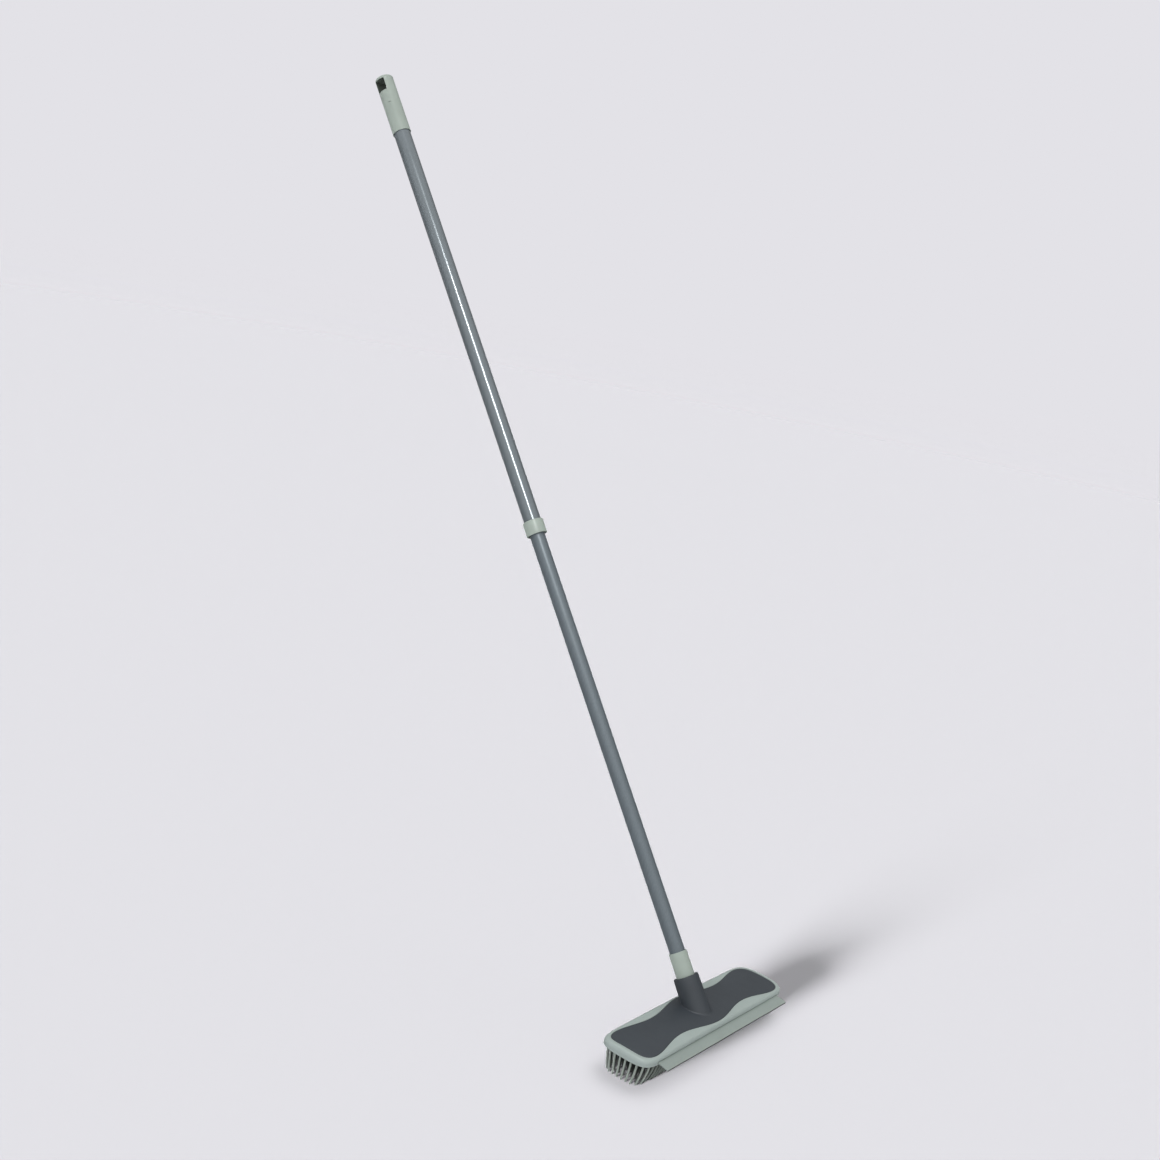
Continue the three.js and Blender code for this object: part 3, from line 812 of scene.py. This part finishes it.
def socket_foot(around):
    """Where the socket's cone meets the crowned top, at each angle: places, and heights along it."""
    height = np.zeros_like(around)
    for _ in range(30):
        meet = around_pole(socket_radius(height), around, height)
        height += (crown(meet[:, 0], meet[:, 1]) - meet[:, 2]) / math.cos(TILT)
    return around_pole(socket_radius(height), around, height), height


def cover_rings():
    """Round the cover's outline from its flat bottom, over the top, up the socket and down its bore."""
    rings = []
    x, y = cover_outline(0)
    rings.append(ring(x, y, COVER_BOTTOM))
    for angle in np.radians([0, 30, 60, 90]):
        x, y = cover_outline(-COVER_EDGE * (1 - math.cos(angle)))
        rings.append(ring(x, y, crown(x, y) - COVER_EDGE * (1 - math.sin(angle))))
    edge_x = x
    edge_share = y / half_width(x)

    # each station of the outline gets its own angle round the socket
    around = np.arctan2(y / SOCKET_STATION_WIDTH, x / COVER_HALF_LENGTH)
    meet, meet_height = socket_foot(around)
    fillet = SOCKET_FILLET + SOCKET_FRONT_FILLET * np.clip(-np.sin(around), 0, 1) ** 1.5
    outward = meet[:, :2] - meet[:, :2].mean(axis=0)
    outward /= np.linalg.norm(outward, axis=1)[:, None]
    foot = meet[:, :2] + outward * fillet[:, None]
    foot_share = foot[:, 1] / half_width(foot[:, 0])

    for share in np.linspace(0, 1, 17)[1:]:
        x = edge_x + (foot[:, 0] - edge_x) * share
        y = (edge_share + (foot_share - edge_share) * share) * half_width(x)
        rings.append(ring(x, y, crown(x, y)))
    fillet_start = rings[-1]
    fillet_top = meet_height + fillet
    fillet_end = around_pole(socket_radius(fillet_top), around, fillet_top)
    for share in np.linspace(0, 1, 8)[1:]:
        rest = 1 - share
        rings.append(fillet_start * rest**2 + meet * 2 * share * rest + fillet_end * share**2)

    for share in (0.25, 0.5, 0.75, 1):
        height = fillet_top + (SOCKET_MOUTH - SOCKET_LIP - fillet_top) * share
        rings.append(around_pole(socket_radius(height), around, height))
    rings += [around_pole(radius, around, height) for radius, height in bore_profile()]
    return rings


def add_cover():
    solid = skin(cover_rings())
    piece = add_piece("cover", solid, COVER, "head", "cover_with_socket")
    boss = [(BOSS_RADIUS, BOSS_BOTTOM), (BOSS_RADIUS, COVER_BOTTOM + 0.4)]
    hole = [(SCREW_RADIUS + GAP, BOSS_BOTTOM - 1), (SCREW_RADIUS + GAP, SCREW_TIP + GAP)]
    cut(piece, joined([upright(boss, x, y) for x, y in SCREW_PLACES]), operation="UNION")
    cut(piece, joined([upright(hole, x, y) for x, y in SCREW_PLACES]))
    finish_edges(piece.data)
    return piece


# ---------------------------------------------------------------- rubber fingers and blade

# Painted shade on the rubber: how much of its colour shows at a finger's root and tip, by how deep it
# stands in the field (the edge fingers' tips come out a little lighter than the rubber)
AT_EDGE = 0
NEXT_TO_EDGE = 1
INSIDE = 2
SHADE_AT_ROOT = (0.8, 0.03, 0.02)
SHADE_AT_TIP = (1.08, 0.45, 0.3)
# Painted shade on the fingers under the blade
UNDER_BLADE = -25  # the Y from which the blade stands over the fingers
UNDER_BLADE_SHADE = 0.6
# Painted shade on the blade's free face
WIPING_FACE_SHADE = 0.15


def finger_roots():
    """Places of the fingers' roots, each with how deep it stands in the field."""
    x, y = head_outline(RING_INSET)
    x = np.append(x, x[0])
    y = np.append(y, y[0])
    travelled = distances(x, y)
    even = (np.arange(RING_FINGERS) + 0.5) / RING_FINGERS * travelled[-1]
    roots = [(np.interp(s, travelled, x), np.interp(s, travelled, y), AT_EDGE) for s in even]
    middle_row = (INNER_ROWS - 1) // 2
    middle_column = (INNER_COLUMNS - 1) // 2
    for row in range(-middle_row, middle_row + 1):
        for column in range(-middle_column, middle_column + 1):
            outermost = abs(row) == middle_row or abs(column) == middle_column
            depth = NEXT_TO_EDGE if outermost else INSIDE
            roots.append((column * INNER_PITCH_ALONG, row * INNER_PITCH_ACROSS, depth))
    for end in (-1, 1):
        for side in (-1, 1):
            roots.append((end * CORNER_FINGER_X, side * CORNER_FINGER_Y, NEXT_TO_EDGE))
    return roots


def finger_rings(root_x, root_y, tip_x, tip_y, sides=12, steps=9):
    """A tapered finger, bent from its upright root to where its tip rests, with a round end."""
    rings = []
    top = PAD_BOTTOM + PAD_EDGE
    for share in np.linspace(0, 1, steps):
        bend = share**FINGER_BEND_POWER
        radius = FINGER_ROOT_RADIUS + (FINGER_TIP_RADIUS - FINGER_ROOT_RADIUS) * share
        radius += FINGER_FOOT_FILLET * math.exp(-share * FINGER_FOOT_FADE)
        place = (root_x + (tip_x - root_x) * bend, root_y + (tip_y - root_y) * bend, 0)
        rings.append(circle(radius, top + (FINGER_NOSE - top) * share, sides) + place)
    for angle in np.radians([35, 65, 85]):
        height = FINGER_NOSE * (1 - math.sin(angle))
        rings.append(circle(FINGER_TIP_RADIUS * math.cos(angle), height, sides) + place)
    return rings


def plate_rings():
    """The pad's plate, in the pocket under the shell."""
    inset = RIM_WALL + GAP
    rings = [ring(*head_outline(inset), FLOOR_BOTTOM - GAP)]
    for angle in np.radians([0, 45, 90]):
        x, y = head_outline(inset + PAD_EDGE * (1 - math.cos(angle)))
        rings.append(ring(x, y, PAD_BOTTOM + PAD_EDGE * (1 - math.sin(angle))))
    return rings


def painted_finger_shade(height, depth):
    """How much of the rubber's colour shows: a painted shade, darkest deep between the fingers and at
    their roots.
    """
    down = 1 - min(1, max(0, height / PAD_BOTTOM))
    at_root = SHADE_AT_ROOT[depth]
    return at_root + (SHADE_AT_TIP[depth] - at_root) * down ** (0.6 + 1.2 * depth)


def add_pad():
    """The rubber pad under the shell and its fingers, which lean in towards the middle of the head."""
    plate = skin(plate_rings())
    solids = [plate]
    # Painted shade on the plate, as deep inside the field of fingers
    shades = [painted_finger_shade(height, INSIDE) for _, _, height in plate[0]]
    draw = np.random.default_rng(7)
    for root_x, root_y, depth in finger_roots():
        front_sweep = FINGER_FRONT_SWEEP * max(0, -root_y / HEAD_HALF_WIDTH) ** 2
        stray_x, stray_y = draw.normal(0, FINGER_STRAY, 2)
        tip_y = root_y * FINGER_LEAN + front_sweep + stray_y
        finger = skin(finger_rings(root_x, root_y, root_x + stray_x, tip_y))
        # Painted shade on the fingers that stand under the blade
        under_blade = root_y < UNDER_BLADE and abs(root_x) < BLADE_HALF_LENGTH + 2
        share = UNDER_BLADE_SHADE if under_blade else 1
        shades += [painted_finger_shade(height, depth) * share for _, _, height in finger[0]]
        solids.append(finger)
    piece = add_piece("rubber_fingers", joined(solids), RUBBER, "head", "bristle_pad",
                      RUBBER_SHARP)
    paint_shades(piece, shades)
    return piece


def paint_shades(piece, shades):
    """The share of its material's colour that a piece shows, for each of its vertices: a painted shade.
    """
    paint = piece.data.color_attributes.new(PAINTED_SHADE, "FLOAT_COLOR", "POINT")
    paint.data.foreach_set("color", [part for value in shades for part in (value, value, value, 1)])


def blade_section():
    """The blade's section, a little thinner and higher in the middle, as (out, up) from its root."""
    upper = []
    lower = []
    for share in np.linspace(0, 1, 15):
        out = (BLADE_REACH + BLADE_ROOT_DEPTH) * share - BLADE_ROOT_DEPTH
        half = BLADE_THICKNESS / 2 - BLADE_WAIST * math.sin(math.pi * share)
        arch = BLADE_ARCH * math.sin(math.pi * share) ** 2
        upper.append((out, arch + half))
        lower.append((out, arch - half))
    for side, inward in ((upper, -BLADE_ROUNDING), (lower, BLADE_ROUNDING)):
        _, end = side.pop()
        side += [(BLADE_REACH - BLADE_ROUNDING, end), (BLADE_REACH, end + inward)]
    return upper + lower[::-1]


def add_blade():
    """The squeegee: a rubber strip with a slight ripple along its free edge."""
    section = np.array(blade_section())
    middle = section.mean(axis=0)
    inner_end = BLADE_HALF_LENGTH - BLADE_CHAMFER
    rings = []
    for x in [-BLADE_HALF_LENGTH, *np.linspace(-inner_end, inner_end, 60), BLADE_HALF_LENGTH]:
        ripple = BLADE_RIPPLE * math.sin(x / 23) + BLADE_FINE_RIPPLE * math.sin(x / 9 + 1)
        size = BLADE_END_SIZE if abs(x) == BLADE_HALF_LENGTH else 1
        points = []
        for out, up in middle + (section - middle) * size:
            free = max(0, out / BLADE_REACH)
            points.append(on_blade(x, out, up + ripple * free))
        rings.append(np.array(points))
    piece = add_piece("squeegee", skin(rings), BLADE, "head", "squeegee_blade",
                      RUBBER_SHARP)
    # Painted shade: the face along the blade's free edge is made much darker than the blade
    shades = []
    for vertex in piece.data.vertices:
        out = (vertex.co / MM - BLADE_ROOT).dot(BLADE_OUT)
        shades.append(WIPING_FACE_SHADE if out > BLADE_REACH - 0.05 else 1)
    paint_shades(piece, shades)


shade_floor(floor_suns, [add_shell(), add_cover(), add_pad()])
add_blade()

# ---------------------------------------------------------------- pole pieces


def tube(radius, bottom, top):
    """A tube with softened ends, cut into short lengths."""
    inner = radius - TUBE_WALL
    edge = TUBE_EDGE
    heights = np.linspace(bottom + edge, top - edge, 25)
    outside = [(radius - edge, bottom), *[(radius, height) for height in heights], (radius - edge, top)]
    inside = [(inner + edge, top), *[(inner, height) for height in heights[::-1]], (inner + edge, bottom)]
    return closed_lathe(outside + inside, 96)


def add_tubes():
    lower = tube(LOWER_RADIUS, LOWER_TUBE_START, LOWER_TUBE_END)
    add_piece("lower_pole_tube", lower, LOWER_TUBE, "lower_pole", "lower_tube")
    upper = tube(UPPER_RADIUS, UPPER_TUBE_START, UPPER_TUBE_END)
    add_piece("upper_pole_tube", upper, UPPER_TUBE, "upper_pole", "upper_tube")


def add_adapter():
    """The lower tube's end: its thread, a sleeve round the tube and a plug inside it."""
    plug = LOWER_RADIUS - TUBE_WALL - GAP
    seat = LOWER_RADIUS + GAP
    seat_floor = LOWER_TUBE_START - GAP
    radius = ADAPTER_RADIUS
    bottom = SOCKET_BORE_END + 0.5
    shoulder = ADAPTER_SHOULDER
    edge = 0.7
    hollow = plug - 2.5
    profile = [(0, bottom), (THREAD_ROOT - 0.6, bottom), (THREAD_ROOT, bottom + 0.6)]
    profile += thread_profile(0)
    profile += [(THREAD_ROOT, shoulder - 0.5), (radius - 0.5, shoulder - 0.3)]
    profile += [(radius, shoulder + 0.3), (radius, ADAPTER_TOP - edge - 0.2)]
    profile += arc(radius - edge, ADAPTER_TOP - edge, edge, 15, 90, 5)
    profile += [(seat + 0.25, ADAPTER_TOP), (seat, ADAPTER_TOP - 0.3), (seat, seat_floor)]
    profile += [(plug, seat_floor), (plug, ADAPTER_PLUG_END - 2), (plug - 1, ADAPTER_PLUG_END)]
    profile += [(hollow, ADAPTER_PLUG_END), (hollow, 60), (0, 60)]
    solid = skin(turned(profile))
    add_piece("adapter", solid, FITTINGS, "lower_pole", "handle_adapter")


def add_collar():
    """The ring on the end of the upper tube: a rolled lip on top and a rounded lower edge."""
    seat = UPPER_RADIUS + GAP
    shelf = UPPER_TUBE_START - GAP
    mouth = COLLAR_BOTTOM + 2.6
    roll = 1.1
    edge = 0.6
    profile = [(COLLAR_BORE, mouth), (COLLAR_RADIUS - 1.4, mouth)]
    profile.append((COLLAR_RADIUS - 1.1, COLLAR_BOTTOM + 0.3))
    profile += arc(COLLAR_RADIUS - edge, COLLAR_BOTTOM + edge, edge, -110, 0, 6)
    profile += [(COLLAR_RADIUS, COLLAR_TOP - 2.6), (COLLAR_RADIUS - 0.1, COLLAR_TOP - 2.2)]
    profile += arc(COLLAR_RADIUS - roll, COLLAR_TOP - roll, roll, 0, 90, 7)
    profile += [(seat + 0.3, COLLAR_TOP), (seat, COLLAR_TOP - 0.3), (seat, shelf)]
    profile.append((COLLAR_BORE, shelf))
    solid = closed_lathe(profile)
    add_piece("end_collar", solid, FITTINGS, "upper_pole", "collar")


def add_cap():
    """The cap at the top of the pole, with a window through it to hang the broom by."""
    seat = UPPER_RADIUS + GAP
    seat_top = UPPER_TUBE_END + GAP
    relief = seat + 0.45
    edge = CAP_EDGE
    side_end = CAP_TOP - edge - 1
    profile = [(0, seat_top), (seat, seat_top), (seat, CAP_BOTTOM + 1.3)]
    profile += [(relief, CAP_BOTTOM + 1.2), (relief, CAP_BOTTOM + 0.1)]
    profile += arc(CAP_RADIUS - CAP_BEAD, CAP_BOTTOM + CAP_BEAD, CAP_BEAD, -110, 60, 6)
    profile += [(CAP_RADIUS - 0.15, height) for height in np.linspace(CAP_BOTTOM + 1.3, side_end, 16)]
    profile += arc(CAP_RADIUS - edge, CAP_TOP - edge, edge, 0, 84, 10)
    profile += [(CAP_RADIUS - edge - 3, CAP_TOP), (0, CAP_TOP)]
    solid = skin(turned(profile))
    piece = add_piece("pole_cap", solid, FITTINGS, "upper_pole", "hanging_cap")
    # The window's walls get a dark material: painted shade inside the window
    piece.data.materials.append(CAP_WINDOW_SHADE)
    cut(piece, cap_window(), [FITTINGS, CAP_WINDOW_SHADE])
    soften_window(piece)
    cut(piece, mould_mark())
    finish_edges(piece.data)


def cap_window():
    """A block through the cap from side to side."""
    through = 20
    half = HANG_HOLE_WIDTH / 2
    bottom = HANG_HOLE_TOP - HANG_HOLE_HEIGHT
    corners, faces = box((-through, through), (-half, half), (bottom, HANG_HOLE_TOP))
    return onto_pole(corners), faces


def soften_window(piece):
    """Round the edges where the window's painted shade meets the cap's own material."""
    edit = bmesh.new()
    edit.from_mesh(piece.data)
    edges = []
    for edge in edit.edges:
        if {face.material_index for face in edge.link_faces} == {0, 1}:
            edges.append(edge)
    bmesh.ops.bevel(edit, geom=edges, offset=HANG_HOLE_EDGE * MM, segments=3, profile=0.5,
                    affect="EDGES", clamp_overlap=True, material=0)
    edit.to_mesh(piece.data)
    edit.free()


def mould_mark():
    """A short sunk mark across the cap, as an ejector of its mould leaves."""
    angles = np.radians(np.linspace(0, 360, 24, endpoint=False))
    across = MARK_HALF_WIDTH * np.cos(angles)
    height = MARK_HEIGHT + MARK_HALF_HEIGHT * np.sin(angles)
    rings = []
    for out in (CAP_RADIUS - MARK_DEPTH, CAP_RADIUS + 1):
        x = out * math.cos(MARK_TURN) - across * math.sin(MARK_TURN)
        y = out * math.sin(MARK_TURN) + across * math.cos(MARK_TURN)
        rings.append(onto_pole(ring(x, y, height)))
    return skin(rings)


add_tubes()
add_adapter()
add_collar()
add_cap()

# ---------------------------------------------------------------- pieces kept from the frame

KEPT = {f"cover_screw_{i}": STEEL for i in range(1, len(SCREW_PLACES) + 1)}
KEPT |= {"lock_rod": STEEL, "lock_end_nut": STEEL, "lock_friction_ring": BLACK_RUBBER}
KEPT |= {"lock_plug": NYLON, "lock_sleeve": NYLON, "lock_cone": NYLON}
for name, material in KEPT.items():
    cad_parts[name].data.materials.clear()
    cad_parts[name].data.materials.append(material)
